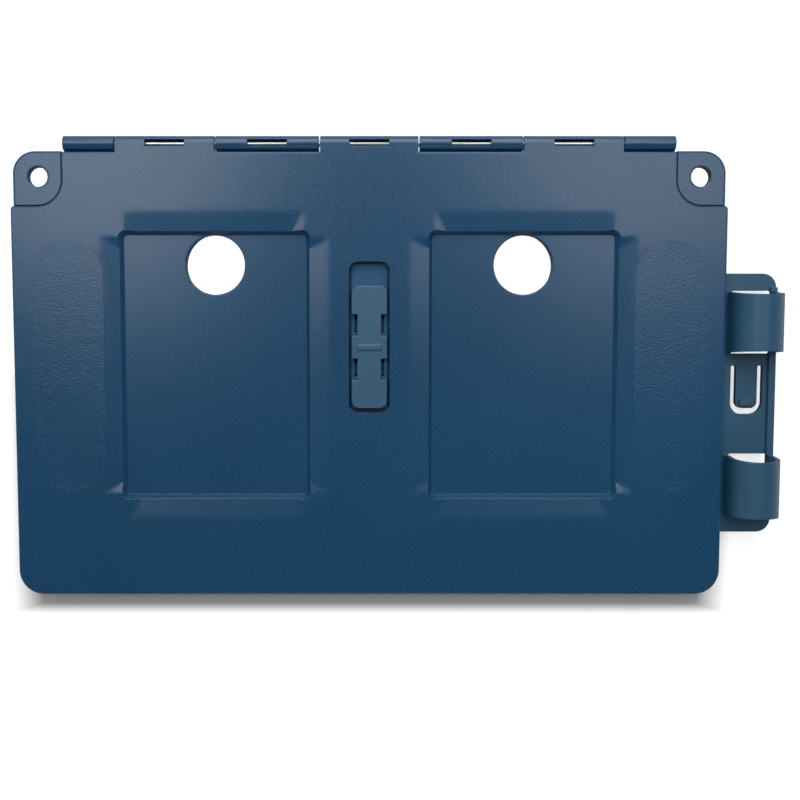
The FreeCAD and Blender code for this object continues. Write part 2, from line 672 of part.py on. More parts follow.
# Marker holder: a base plate with two open loops, a sprung tongue between them and hooks into the tray wall.
clip = new_body("marker_holder")
CLIP_LOW = "(clip_centre_y - clip_length / 2)"
CLIP_HIGH = "(clip_centre_y + clip_length / 2)"
plan = new_sketch(clip, "XY_Plane", CLIP_UNDER)
outline(plan, [(SIDE, CLIP_LOW, "0"), (CLIP_OUTER, CLIP_LOW, "clip_round"),
               (CLIP_OUTER, CLIP_HIGH, "clip_round"), (SIDE, CLIP_HIGH, "0")])
pad(clip, plan, "clip_base")
block(clip, SIDE, f"{SIDE} + clip_flange", CLIP_LOW, CLIP_HIGH,
      "clip_flange_low", f"{CLIP_UNDER} - clip_flange_low")
block(clip, f"{CLIP_OUTER} - rail_width", CLIP_OUTER, f"{CLIP_LOW} + clip_round", f"{CLIP_HIGH} - clip_round",
      CLIP_FRONT, "rail_height")
for loop_y in LOOP_ROWS:
    loop_end = f"({loop_y} + loop_length / 2)"
    profile = new_sketch(clip, "XZ_Plane", f"-{loop_end}")
    arch(profile, LOOP_X, CLIP_FRONT, LOOP_AXIS_Z, LOOP_HALF)
    pad(clip, profile, "loop_length")
    profile = new_sketch(clip, "XZ_Plane", f"-{loop_end}")
    arch(profile, LOOP_X, CLIP_FRONT, LOOP_AXIS_Z, "loop_bore / 2")
    pocket(clip, profile, "loop_length", forward=True)
plan = new_sketch(clip, "XY_Plane", CLIP_FRONT)
profile = new_sketch(clip, "YZ_Plane", f"{CLIP_OUTER} + loop_wall")
for loop_y in LOOP_ROWS:
    centred(plan, LOOP_X, loop_y, "loop_bore", "loop_length + 2 * window_margin", "inside_round")
    crest = f"({LOOP_AXIS_Z} + {LOOP_HALF})"
    for way in ("-", "+"):
        foot_y = f"({loop_y} {way} loop_length / 2)"
        crest_y = f"({loop_y} {way} (loop_length / 2 - loop_taper))"
        polygon(profile, [(foot_y, f"{CLIP_FRONT} + rail_height"), (foot_y, crest), (crest_y, crest)])
pocket(clip, plan, "clip_base")
pocket(clip, profile, "clip_width + 2 * loop_wall")

# The holder's tongue: a U-shaped slot in the base frees it at one end, and its bump grips the marker.
TONGUE_X = f"({LOOP_X} - tongue_shift)"
TONGUE_LEFT = f"({TONGUE_X} - tongue_width / 2)"
TONGUE_RIGHT = f"({TONGUE_X} + tongue_width / 2)"
TONGUE_END = "(tongue_root_y - tongue_length)"
plan = new_sketch(clip, "XY_Plane", CLIP_FRONT)
SLOT_END = f"({TONGUE_END} - tongue_end_slot)"
outline(plan, [(f"{TONGUE_LEFT} - tongue_slot", SLOT_END, "tongue_round + tongue_slot"),
               (f"{TONGUE_RIGHT} + tongue_slot", SLOT_END, "tongue_round + tongue_slot"),
               (f"{TONGUE_RIGHT} + tongue_slot", "tongue_root_y", "inside_round"),
               (TONGUE_RIGHT, "tongue_root_y", "inside_round"),
               (TONGUE_RIGHT, TONGUE_END, "tongue_round"),
               (TONGUE_LEFT, TONGUE_END, "tongue_round"),
               (TONGUE_LEFT, "tongue_root_y", "inside_round"),
               (f"{TONGUE_LEFT} - tongue_slot", "tongue_root_y", "inside_round")])
pocket(clip, plan, "clip_base")
plan = new_sketch(clip, "XY_Plane", CLIP_FRONT)
BUMP_Y = f"({TONGUE_END} + bump_inset + bump_length / 2)"
centred(plan, TONGUE_X, BUMP_Y, "bump_width", "bump_length", "inside_round")
pad(clip, plan, "bump_height")

# The holder's hooks: flat tongues through the wall slots, with a barb up behind the wall.
HOOK_LOW = "(hook_lift - hook_thickness / 2)"
BARB_X = f"({SIDE} - tray_wall - hook_clearance)"
shanks = new_sketch(clip, "XY_Plane", HOOK_LOW)
barbs = new_sketch(clip, "XY_Plane", HOOK_LOW)
for loop_y in LOOP_ROWS:
    hook_span = [f"{loop_y} - hook_length / 2", f"{loop_y} + hook_length / 2"]
    rectangle(shanks, f"{BARB_X} - hook_barb_length", SIDE, *hook_span)
    rectangle(barbs, f"{BARB_X} - hook_barb_length", BARB_X, *hook_span)
pad(clip, shanks, "hook_thickness")
pad(clip, barbs, "hook_thickness + hook_barb")

# Grid sheets: thin printed sheets stuck to the wells' backs and to the tray floor, below the finger holes.
SHEET_LOW = "(well_centre_y - well_length / 2 + sheet_margin)"
SHEET_HIGH = f"({FINGER_Y} - finger_hole_d / 2 - finger_hole_step - sheet_margin)"
sheets = []
for place, level in (("lid", f"{WELL_UNDER} - sheet_thickness"), ("tray", "tray_floor")):
    for hand, well_x in zip(("left", "right"), WELLS):
        grid = new_body(f"{place}_grid_{hand}")
        block(grid, f"{well_x} - well_width / 2 + sheet_margin", f"{well_x} + well_width / 2 - sheet_margin",
              SHEET_LOW, SHEET_HIGH, level, "sheet_thickness", "sheet_round")
        sheets.append(grid)

# Fleet rack: a shallow double channel stuck to the tray floor along the front wall.
RACK_HALF = "(case_width / 2 - corner_round)"
RACK_FRONT = f"({FRONT} + tray_wall + rack_wall_gap)"
RACK_INSIDE = f"({RACK_FRONT} + rack_rail)"
CHANNEL = "(ship_beam + 2 * ship_clearance)"
ROW_START = f"({RACK_HALF} - rack_rail)"
rack = new_body("fleet_rack")
block(rack, f"-{RACK_HALF}", RACK_HALF, RACK_FRONT, f"{RACK_INSIDE} + {CHANNEL} + rack_rail",
      "tray_floor", "rack_base + rack_rail_height", "inside_round")
plan = new_sketch(rack, "XY_Plane", "tray_floor + rack_base + rack_rail_height")
for low, high in both_sides("(rack_rail / 2)", ROW_START):
    rectangle(plan, low, high, RACK_INSIDE, f"{RACK_INSIDE} + {CHANNEL}")
pocket(rack, plan, "rack_rail_height")

# Fleets: five flat ships for each player, spaced evenly along the two halves of the rack.
SHIP_Y = f"({RACK_INSIDE} + {CHANNEL} / 2)"
SHIP_Z = "(tray_floor + rack_base)"
CELLS = sum(cells for ship_name, cells in FLEET)
SHIP_ROOM = f"({ROW_START} - rack_rail / 2 - {CELLS} * cell_pitch + {len(FLEET)} * ship_end_gap)"
SHIP_GAP = f"({SHIP_ROOM} / {len(FLEET) + 1})"
ships = []
for player, row_start in (("left", f"(-{ROW_START})"), ("right", "(rack_rail / 2)")):
    passed = 0
    for place, (ship_name, cells) in enumerate(FLEET):
        ship = new_body(f"{player}_fleet_{ship_name}")
        stern = f"({row_start} + {place + 1} * {SHIP_GAP} + {passed} * cell_pitch - {place} * ship_end_gap)"
        bow = f"({stern} + {cells} * cell_pitch - ship_end_gap)"
        plan = new_sketch(ship, "XY_Plane", SHIP_Z)
        polygon(plan, [(stern, f"{SHIP_Y} - ship_stern_beam / 2"),
                       (f"{stern} + ship_stern", f"{SHIP_Y} - ship_beam / 2"),
                       (f"{bow} - ship_bow", f"{SHIP_Y} - ship_beam / 2"),
                       (bow, SHIP_Y),
                       (f"{bow} - ship_bow", f"{SHIP_Y} + ship_beam / 2"),
                       (f"{stern} + ship_stern", f"{SHIP_Y} + ship_beam / 2"),
                       (stern, f"{SHIP_Y} + ship_stern_beam / 2")])
        pad(ship, plan, "ship_hull_height")
        block(ship, f"{stern} + ship_stern + ship_end_gap", f"{bow} - ship_bow - ship_end_gap",
              f"{SHIP_Y} - ship_deck_beam / 2", f"{SHIP_Y} + ship_deck_beam / 2",
              f"{SHIP_Z} + ship_hull_height", "ship_deck_height", "inside_round")
        ships.append(ship)
        passed += cells

doc.recompute()
subparts = [lid, tray, pin, slider, clip, rack] + sheets + ships
for item in doc.Objects:
    if "Invalid" in item.State or "Error" in item.State:
        raise RuntimeError(f"{item.Name} failed: {item.State}")
for part in subparts:
    if part.Shape.isNull() or not part.Shape.isValid() or len(part.Shape.Solids) != 1:
        raise RuntimeError(f"{part.Label} is not one valid solid")

os.makedirs("parts", exist_ok=True)
for part in subparts:
    part.Shape.exportStep(f"parts/{part.Label}.step")
    print(f"{part.Label}: {part.Shape.Volume:.1f} mm3")
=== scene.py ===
import math

import bmesh
import bpy
from mathutils import Euler, Matrix, Vector


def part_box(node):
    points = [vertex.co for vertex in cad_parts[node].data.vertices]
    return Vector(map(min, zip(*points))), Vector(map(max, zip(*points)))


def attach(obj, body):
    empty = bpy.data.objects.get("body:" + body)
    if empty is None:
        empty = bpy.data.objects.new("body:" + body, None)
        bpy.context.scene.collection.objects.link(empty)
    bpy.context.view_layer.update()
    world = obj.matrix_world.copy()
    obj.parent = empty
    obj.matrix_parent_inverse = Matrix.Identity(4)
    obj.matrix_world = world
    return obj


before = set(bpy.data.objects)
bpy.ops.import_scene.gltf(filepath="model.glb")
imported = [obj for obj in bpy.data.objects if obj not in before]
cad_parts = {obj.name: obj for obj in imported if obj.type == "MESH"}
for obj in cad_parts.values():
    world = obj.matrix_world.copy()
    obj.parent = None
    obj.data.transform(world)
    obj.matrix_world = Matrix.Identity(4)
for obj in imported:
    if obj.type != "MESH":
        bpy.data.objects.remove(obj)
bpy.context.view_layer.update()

# Tray: the deep half of the case, one injection moulding in teal-navy plastic with a fine satin grain.
# It carries the corner ears, four hinge knuckles and the latch keeper, and all the rest is built onto it.
MM = 0.001
CASE_COLOUR = (0.0079, 0.0675, 0.1545)
CASE_ROUGHNESS = 0.25
CASE_GRAIN = 0.42 * MM
CASE_GRAIN_DEPTH = 0.010 * MM
CLOUD_SIZE = 70 * MM
CLOUD_SHADES = (0.93, 1.07)
DUST_COLOUR = (0.0300, 0.0900, 0.1500)
DUST_SHARE = 0.06
SMOOTHER_BY = 0.05
ROUGHER_BY = 0.07
PLASTIC_SPECULAR = 0.60
EDGE_SAMPLES = 8
RIM_ROUND = 0.3 * MM
EYELET_X = 115.8 * MM
EYELET_Y = 69.75 * MM
EYELET_RIM = 5.5 * MM
EYELET_ROUND = 1.1 * MM
NOISE_MIDDLE = (0.3, 0.7)


def noise(tree, place, size, detail=3.0):
    """A noise texture whose blotches are about the given size, which may differ along X, Y and Z."""
    lengths = size if isinstance(size, tuple) else (size, size, size)
    mapping = tree.nodes.new("ShaderNodeMapping")
    mapping.inputs["Scale"].default_value = [1 / length for length in lengths]
    tree.links.new(place, mapping.inputs["Vector"])
    texture = tree.nodes.new("ShaderNodeTexNoise")
    texture.inputs["Scale"].default_value = 1.0
    texture.inputs["Detail"].default_value = detail
    tree.links.new(mapping.outputs["Vector"], texture.inputs["Vector"])
    return texture.outputs["Fac"]


def remap(tree, source, start, end, low=0.0, high=1.0):
    """A value that goes from low to high while the source goes from start to end."""
    ramp = tree.nodes.new("ShaderNodeMapRange")
    for name, value in (("From Min", start), ("From Max", end), ("To Min", low), ("To Max", high)):
        ramp.inputs[name].default_value = value
    tree.links.new(source, ramp.inputs["Value"])
    return ramp.outputs["Result"]


def spread(tree, blotches, low, high):
    """Turns the middle range of a noise into a value between low and high."""
    return remap(tree, blotches, *NOISE_MIDDLE, low, high)


def calc(tree, operation, *values):
    """A math node on plain numbers or other nodes' outputs."""
    node = tree.nodes.new("ShaderNodeMath")
    node.operation = operation
    for socket, value in zip(node.inputs, values):
        if isinstance(value, (int, float)):
            socket.default_value = value
        else:
            tree.links.new(value, socket)
    return node.outputs[0]


def blend_colour(tree, share, first, second):
    """A colour between two, each a plain colour or another node's output."""
    mix = tree.nodes.new("ShaderNodeMix")
    mix.data_type = "RGBA"
    tree.links.new(share, mix.inputs[0])
    for socket, colour in ((mix.inputs[6], first), (mix.inputs[7], second)):
        if isinstance(colour, tuple):
            socket.default_value = (*colour, 1.0)
        else:
            tree.links.new(colour, socket)
    return mix.outputs[2]


def new_material(name):
    """An empty surface: its node tree, its shader and its object coordinates."""
    material = bpy.data.materials.new(name)
    material.use_nodes = True
    tree = material.node_tree
    place = tree.nodes.new("ShaderNodeTexCoord").outputs["Object"]
    return material, tree, tree.nodes["Principled BSDF"], place


def relief(tree, shader, height, depth, edge_round):
    """Adds a bump of the given depth over softened edges.

    The edges' radius is one number, or a function that works it out in place.
    """
    edge = tree.nodes.new("ShaderNodeBevel")
    edge.samples = EDGE_SAMPLES
    if isinstance(edge_round, float):
        edge.inputs["Radius"].default_value = edge_round
    else:
        tree.links.new(edge_round(tree), edge.inputs["Radius"])
    bump = tree.nodes.new("ShaderNodeBump")
    bump.inputs["Distance"].default_value = depth
    tree.links.new(height, bump.inputs["Height"])
    tree.links.new(edge.outputs["Normal"], bump.inputs["Normal"])
    tree.links.new(bump.outputs["Normal"], shader.inputs["Normal"])


def moulded_plastic(name, colour, roughness=CASE_ROUGHNESS, grain=CASE_GRAIN, depth=CASE_GRAIN_DEPTH,
                    edge_round=RIM_ROUND):
    """Satin plastic with the mould's fine grain, faint clouding in its colour and uneven gloss."""
    material, tree, shader, place = new_material(name)
    clouds = spread(tree, noise(tree, place, CLOUD_SIZE), 0.0, 1.0)
    darker, lighter = (tuple(shade * part for part in colour) for shade in CLOUD_SHADES)
    cloudy = blend_colour(tree, clouds, darker, lighter)
    speck = noise(tree, place, grain)
    dust = spread(tree, speck, 0.0, DUST_SHARE)
    uneven = spread(tree, speck, roughness - SMOOTHER_BY, roughness + ROUGHER_BY)
    tree.links.new(blend_colour(tree, dust, cloudy, DUST_COLOUR), shader.inputs["Base Color"])
    tree.links.new(uneven, shader.inputs["Roughness"])
    shader.inputs["Specular IOR Level"].default_value = PLASTIC_SPECULAR
    relief(tree, shader, speck, depth, edge_round)
    return material


def dress(material, name):
    """Gives the named solid its finish."""
    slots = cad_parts[name].data.materials
    slots.clear()
    slots.append(material)


def split(tree, place):
    """The X, Y and Z of a place, by name."""
    axes = tree.nodes.new("ShaderNodeSeparateXYZ")
    tree.links.new(place, axes.inputs["Vector"])
    return axes.outputs


def object_axes(tree):
    """The X, Y and Z of the piece's own coordinates, by name."""
    return split(tree, tree.nodes.new("ShaderNodeTexCoord").outputs["Object"])


def rim_softness(tree, x, y, reach, radius):
    """A radius for the rims of two upright holes at -x and x, and nought out of their reach."""
    axes = object_axes(tree)
    away_x = calc(tree, "SUBTRACT", calc(tree, "ABSOLUTE", axes["X"]), x)
    away_y = calc(tree, "SUBTRACT", axes["Y"], y)
    away = calc(tree, "ADD", calc(tree, "MULTIPLY", away_x, away_x), calc(tree, "MULTIPLY", away_y, away_y))
    return calc(tree, "MULTIPLY", calc(tree, "LESS_THAN", away, reach * reach), radius)


def tray_softness(tree):
    """A wide radius round the eyelets, and a small one everywhere else."""
    return calc(tree, "MAXIMUM", rim_softness(tree, EYELET_X, EYELET_Y, EYELET_RIM, EYELET_ROUND), RIM_ROUND)


case_plastic = moulded_plastic("case_plastic", CASE_COLOUR, edge_round=tray_softness)
dress(case_plastic, "tray_shell")

# Tray grids: two thin wipe-clean sheets stuck to the tray floor, one for each player.
# A sheet is white film, printed with ten rows and columns, their numbers and their letters.
CELL = 6.0 * MM
CELLS = 10
LINE_SHARE = 0.035
PAPER_SHADES = ((0.62, 0.66, 0.68), (0.68, 0.72, 0.73))
PAPER_FIBRE = 2.0 * MM
FILM_ROUGHNESS = (0.38, 0.46)
SEA_BLUE = (0.28, 0.48, 0.60)
SEA_SHARE = 0.45
PRINT_BLUE = (0.030, 0.105, 0.200)
WORN_BLUE = (0.045, 0.130, 0.225)
INK_WEAR = 1.5 * MM
INK_ROUGHNESS = 0.3
PRINT_LIFT = 0.01 * MM
PRINT_CURVE_STEPS = 3
PRINT_WELD = 0.001 * MM
NUMBER_SIZE = 3.4 * MM
NUMBER_RISE = 0.55 * CELL
ROW_LETTERS = "ABCDEFGHIJ"
LETTER_SIZE = 1.7 * MM
LETTER_IN = 0.20 * CELL
LETTER_DOWN = 0.24 * CELL


def grid_corner(name, flipped):
    """The first cell's outer corner on a sheet, and the way its rows run along Y."""
    low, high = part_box(name)
    middle = (low.x + high.x) / 2
    margin = (high.y - low.y - CELLS * CELL) - (high.x - low.x - CELLS * CELL) / 2
    row_way = 1 if flipped else -1
    start = low.y + margin if flipped else high.y - margin
    return Vector((middle - CELLS * CELL / 2, start, low.z if flipped else high.z)), row_way


def within(tree, value, low, high):
    """One between two limits, and nought beyond them."""
    return calc(tree, "COMPARE", value, (low + high) / 2, (high - low) / 2)


def printed_film(name, flipped):
    """White film with the printed grid, laid out from the sheet's own corner."""
    material, tree, shader, place = new_material(f"{name}_film")
    corner, row_way = grid_corner(name, flipped)
    mapping = tree.nodes.new("ShaderNodeMapping")
    mapping.vector_type = "TEXTURE"
    mapping.inputs["Location"].default_value = corner
    mapping.inputs["Scale"].default_value = (CELL, row_way * CELL, CELL)
    tree.links.new(place, mapping.inputs["Vector"])
    axes = split(tree, mapping.outputs["Vector"])
    inside, lined, odd = [], [], []
    for axis in ("X", "Y"):
        count = axes[axis]
        inside.append(within(tree, count, -LINE_SHARE, CELLS + LINE_SHARE))
        lined.append(calc(tree, "LESS_THAN", calc(tree, "PINGPONG", count, 0.5), LINE_SHARE))
        odd.append(calc(tree, "MODULO", calc(tree, "FLOOR", calc(tree, "ADD", count, CELLS)), 2))
    on_grid = calc(tree, "MULTIPLY", *inside)
    chequer = calc(tree, "MULTIPLY", on_grid, calc(tree, "COMPARE", calc(tree, "ADD", *odd), 1, 0.5))
    ink = calc(tree, "MULTIPLY", on_grid, calc(tree, "MAXIMUM", *lined))
    fibre = noise(tree, place, PAPER_FIBRE, detail=4.0)
    paper = blend_colour(tree, fibre, *PAPER_SHADES)
    sea = blend_colour(tree, calc(tree, "MULTIPLY", chequer, SEA_SHARE), paper, SEA_BLUE)
    tree.links.new(blend_colour(tree, ink, sea, PRINT_BLUE), shader.inputs["Base Color"])
    tree.links.new(spread(tree, fibre, *FILM_ROUGHNESS), shader.inputs["Roughness"])
    return material


def plain_mesh(source):
    """The finished mesh of an object with its modifiers, or of a text."""
    bpy.context.view_layer.update()
    return bpy.data.meshes.new_from_object(source.evaluated_get(bpy.context.evaluated_depsgraph_get()))


def show(name, mesh, material, body):
    """Puts a finished mesh in the scene as a piece that rides on a body."""
    piece = bpy.data.objects.new(name, mesh)
    bpy.context.scene.collection.objects.link(piece)
    mesh.materials.clear()
    mesh.materials.append(material)
    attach(piece, body)


def add_word(mesh, word, size, matrix):
    """Adds one printed letter or number, as a thin raised print, to a bmesh."""
    curve = bpy.data.curves.new("print", "FONT")
    curve.body = word
    curve.size = size
    curve.align_x = "CENTER"
    curve.align_y = "CENTER"
    curve.resolution_u = PRINT_CURVE_STEPS
    curve.extrude = PRINT_LIFT
    text = bpy.data.objects.new("print", curve)
    bpy.context.scene.collection.objects.link(text)
    shape = plain_mesh(text)
    shape.transform(matrix)
    mesh.from_mesh(shape)
    bpy.data.objects.remove(text)
    bpy.data.meshes.remove(shape)


print_ink, tree, shader, place = new_material("print_ink")
shader.inputs["Roughness"].default_value = INK_ROUGHNESS
tree.links.new(blend_colour(tree, noise(tree, place, INK_WEAR), PRINT_BLUE, WORN_BLUE),
               shader.inputs["Base Color"])


def print_sheet(name, body, flipped):
    """Dresses one sheet: its printed grid, the numbers of its columns and the letters of its rows."""
    dress(printed_film(name, flipped), name)
    corner, row_way = grid_corner(name, flipped)
    turn = Matrix.Rotation(math.pi if flipped else 0.0, 4, "X")
    words = bmesh.new()
    for cell in range(CELLS):
        top = corner + Vector(((cell + 0.5) * CELL, -row_way * NUMBER_RISE, 0))
        add_word(words, str(cell + 1), NUMBER_SIZE, Matrix.Translation(top) @ turn)
        side = corner + Vector((LETTER_IN, row_way * (cell * CELL + LETTER_DOWN), 0))
        add_word(words, ROW_LETTERS[cell], LETTER_SIZE, Matrix.Translation(side) @ turn)
    bmesh.ops.remove_doubles(words, verts=words.verts, dist=PRINT_WELD)
    mesh = bpy.data.meshes.new(f"{name}_print")
    words.to_mesh(mesh)
    words.free()
    show(f"{name}_print", mesh, print_ink, body)


for hand in ("left", "right"):
    print_sheet(f"tray_grid_{hand}", "tray", False)

# Fleet rack: a double channel moulded in darker plastic, stuck to the tray floor along the front wall.
# It keeps the two fleets apart while the case is carried.
RACK_COLOUR = (0.010, 0.026, 0.045)
RACK_ROUGHNESS = 0.40
dress(moulded_plastic("rack_plastic", RACK_COLOUR, RACK_ROUGHNESS), "fleet_rack")

# Fleets: ten flat ships, five in pale grey and five in charcoal, moulded in satin plastic.
# Each deck carries small funnels and gun turrets in turn, one fewer than the cells that the ship covers.
FLEET_COLOURS = {"left": (0.50, 0.53, 0.54), "right": (0.055, 0.060, 0.068)}
FLEET_SLOTS = {"left": "light_fleet", "right": "dark_fleet"}
FLEET_ROUGHNESS = 0.34
FLEET_GRAIN = 0.6 * MM
FLEET_GRAIN_DEPTH = 0.008 * MM
FLEET_EDGE = 0.2 * MM
SHIPS = ("carrier", "battleship", "cruiser", "submarine", "patrol_boat")
DECK_SIZES = {
    "Turret Radius": 0.85 * MM,
    "Turret Height": 0.55 * MM,
    "Barrel Length": 1.5 * MM,
    "Barrel Radius": 0.16 * MM,
    "Barrel Spread": 0.32 * MM,
    "Funnel Radius": 0.62 * MM,
    "Funnel Height": 1.5 * MM,
}
TURRET_TAPER = 0.8
FUNNEL_TAPER = 0.75
BARREL_OUT = 0.75
BARREL_LEVEL = 0.55
ROUND_SIDES = 16
BARREL_SIDES = 8
FITTING_BACK = 0.35


def node_tree(name, sizes):
    """An empty Geometry Nodes tree whose inputs are a geometry, the named sizes and a finish."""
    tree = bpy.data.node_groups.new(name, "GeometryNodeTree")
    tree.interface.new_socket("Geometry", in_out="INPUT", socket_type="NodeSocketGeometry")
    for size_name in sizes:
        tree.interface.new_socket(size_name, in_out="INPUT", socket_type="NodeSocketFloat")
    tree.interface.new_socket("Finish", in_out="INPUT", socket_type="NodeSocketMaterial")
    tree.interface.new_socket("Geometry", in_out="OUTPUT", socket_type="NodeSocketGeometry")
    return tree, tree.nodes.new("NodeGroupInput").outputs


def add_node(tree, kind, links=(), **settings):
    """A node with its settings, and its inputs linked or set by name or number."""
    node = tree.nodes.new(kind)
    for name, value in settings.items():
        setattr(node, name, value)
    for name, source in dict(links).items():
        if isinstance(source, bpy.types.NodeSocket):
            tree.links.new(source, node.inputs[name])
        else:
            node.inputs[name].default_value = source
    return node


def join_parts(tree, kind, parts):
    """A node that takes several geometries in one input."""
    node = add_node(tree, kind)
    for part in parts:
        tree.links.new(part, node.inputs["Geometry"])
    return node


def finish_tree(tree, geometry, finish):
    """Ends a tree: its instances become plain geometry and get the finish."""
    real = add_node(tree, "GeometryNodeRealizeInstances", {"Geometry": geometry})
    dressed = add_node(tree, "GeometryNodeSetMaterial", {
        "Geometry": real.outputs["Geometry"], "Material": finish})
    add_node(tree, "NodeGroupOutput", {"Geometry": dressed.outputs["Geometry"]})


def grow(name, seed_mesh, tree, sizes, finish):
    """Runs a tree on a mesh and returns the plain result."""
    source = bpy.data.objects.new(name, seed_mesh)
    bpy.context.scene.collection.objects.link(source)
    modifier = source.modifiers.new("grow", "NODES")
    modifier.node_group = tree
    settings = {**sizes, "Finish": finish}
    for item in tree.interface.items_tree:
        if item.in_out == "INPUT" and item.name in settings:
            modifier[item.identifier] = settings[item.name]
    mesh = plain_mesh(source)
    source.modifiers.clear()
    bpy.data.objects.remove(source)
    return mesh


def deck_tree():
    """Plain funnels and turrets with two barrels, in turn, on the points of a mesh."""
    tree, given = node_tree("deck_fittings", DECK_SIZES)
    turret = add_node(tree, "GeometryNodeMeshCone", {
        "Vertices": ROUND_SIDES, "Radius Bottom": given["Turret Radius"],
        "Radius Top": calc(tree, "MULTIPLY", given["Turret Radius"], TURRET_TAPER),
        "Depth": given["Turret Height"]})
    barrel = add_node(tree, "GeometryNodeMeshCylinder", {
        "Vertices": BARREL_SIDES, "Radius": given["Barrel Radius"], "Depth": given["Barrel Length"]})
    parts = [turret.outputs["Mesh"]]
    for way in (-1, 1):
        place = add_node(tree, "ShaderNodeCombineXYZ", {
            "X": calc(tree, "MULTIPLY", given["Barrel Length"], BARREL_OUT),
            "Y": calc(tree, "MULTIPLY", given["Barrel Spread"], way),
            "Z": calc(tree, "MULTIPLY", given["Turret Height"], BARREL_LEVEL)})
        moved = add_node(tree, "GeometryNodeTransform", {
            "Geometry": barrel.outputs["Mesh"], "Translation": place.outputs["Vector"],
            "Rotation": Euler((0, math.pi / 2, 0))})
        parts.append(moved.outputs["Geometry"])
    gun = join_parts(tree, "GeometryNodeJoinGeometry", parts)
    funnel = add_node(tree, "GeometryNodeMeshCone", {
        "Vertices": ROUND_SIDES, "Radius Bottom": given["Funnel Radius"],
        "Radius Top": calc(tree, "MULTIPLY", given["Funnel Radius"], FUNNEL_TAPER),
        "Depth": given["Funnel Height"]})
    choices = join_parts(tree, "GeometryNodeGeometryToInstance",
                         (funnel.outputs["Mesh"], gun.outputs["Geometry"]))
    index = add_node(tree, "GeometryNodeInputIndex")
    placed = add_node(tree, "GeometryNodeInstanceOnPoints", {
        "Points": given["Geometry"], "Instance": choices.outputs["Instances"], "Pick Instance": True,
        "Instance Index": calc(tree, "MODULO", index.outputs["Index"], 2)})
    finish_tree(tree, placed.outputs["Instances"], given["Finish"])
    return tree


deck_fittings = deck_tree()
for hand in ("left", "right"):
    fleet_plastic = moulded_plastic(FLEET_SLOTS[hand], FLEET_COLOURS[hand], FLEET_ROUGHNESS, FLEET_GRAIN,
                                    FLEET_GRAIN_DEPTH, FLEET_EDGE)
    spots = []
    for ship in SHIPS:
        name = f"{hand}_fleet_{ship}"
        dress(fleet_plastic, name)
        low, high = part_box(name)
        length = high.x - low.x
        cells = round(length / CELL)
        for cell in range(1, cells):
            along = low.x + (cell - FITTING_BACK) / cells * length
            spots.append((along, (low.y + high.y) / 2, high.z))
    points = bpy.data.meshes.new(f"{hand}_decks")
    points.from_pydata(spots, [], [])
    fittings = grow(f"{hand}_decks", points, deck_fittings, DECK_SIZES, fleet_plastic)
    show(f"{hand}_fleet_fittings", fittings, fleet_plastic, "tray")

# Lid: the front half, moulded in the same plastic, with two card wells, finger holes and the latch recess.
# Its three knuckles fit between the tray's, and its two inner sheets match the tray's.
# Painted light makes the recess floor along the slider's path lighter in faint streaks, and painted shade
# darkens the recess round it.
WELL_SPACING = 108.6 * MM
WELL_CENTRE_Y = 3.6 * MM
WELL_HALF_WIDE = 32.9 * MM
WELL_HALF_LONG = 46.9 * MM
RAMP_INNER = 0.35 * MM
RAMP_OUTER = 10.15 * MM
RAMP_START = 0.6 * MM
RAMP_ROUND = 2.8 * MM
GRIP_REACH = 38.0 * MM
FINGER_Y = 39.2 * MM
FINGER_RIM = 12.4 * MM
FINGER_ROUND = 0.9 * MM
RECESS_DEPTH = 3.2 * MM
SLIDE_TRAVEL = 7.5 * MM
# Painted light on the latch recess floor and painted shade in the recess round it.
RECESS_FLOOR_BAND = 0.4 * MM
PAINTED_LIGHT_STREAKS = (0.3 * MM, 9.0 * MM, 0.3 * MM)
PAINTED_LIGHT_SHARES = (0.75, 1.0)
PAINTED_LIGHT_COLOUR = (0.0230, 0.1130, 0.2320)
RECESS_SIDE_GAP = 1.0 * MM
RECESS_END_GAP = 1.85 * MM
RECESS_WALL = 2.0 * MM
PAINTED_SHADE_COLOUR = (0.0030, 0.0180, 0.0400)
PAINTED_SHADE_SHARE = 0.65
lid_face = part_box("lid_shell")[1].z


def lid_softness(tree):
    """The radius of the lid's edges.

    It grows away from the wells along their ramps, is wide round the finger holes, nought from the grips
    outwards and small everywhere else.
    """
    axes = object_axes(tree)
    from_well_x = calc(tree, "SUBTRACT", calc(tree, "ABSOLUTE", axes["X"]), WELL_SPACING / 2)
    from_well_y = calc(tree, "SUBTRACT", axes["Y"], WELL_CENTRE_Y)
    beyond = calc(tree, "MAXIMUM",
                  calc(tree, "SUBTRACT", calc(tree, "ABSOLUTE", from_well_x), WELL_HALF_WIDE),
                  calc(tree, "SUBTRACT", calc(tree, "ABSOLUTE", from_well_y), WELL_HALF_LONG))
    on_ramp = within(tree, beyond, RAMP_INNER, RAMP_OUTER)
    growing = calc(tree, "MINIMUM", calc(tree, "SUBTRACT", beyond, RAMP_START), RAMP_ROUND)
    at_grip = calc(tree, "GREATER_THAN", from_well_x, GRIP_REACH)
    crisp = calc(tree, "MULTIPLY", calc(tree, "SUBTRACT", 1.0, at_grip), RIM_ROUND)
    ramps = calc(tree, "MAXIMUM", calc(tree, "MULTIPLY", on_ramp, growing), crisp)
    rims = rim_softness(tree, WELL_SPACING / 2, FINGER_Y, FINGER_RIM, FINGER_ROUND)
    return calc(tree, "MAXIMUM", ramps, rims)


def box_share(tree, axes, low, high):
    """One inside the box between two corners, and nought outside it."""
    share = 1.0
    for axis, start, end in zip("XYZ", low, high):
        share = calc(tree, "MULTIPLY", share, within(tree, axes[axis], start, end))
    return share


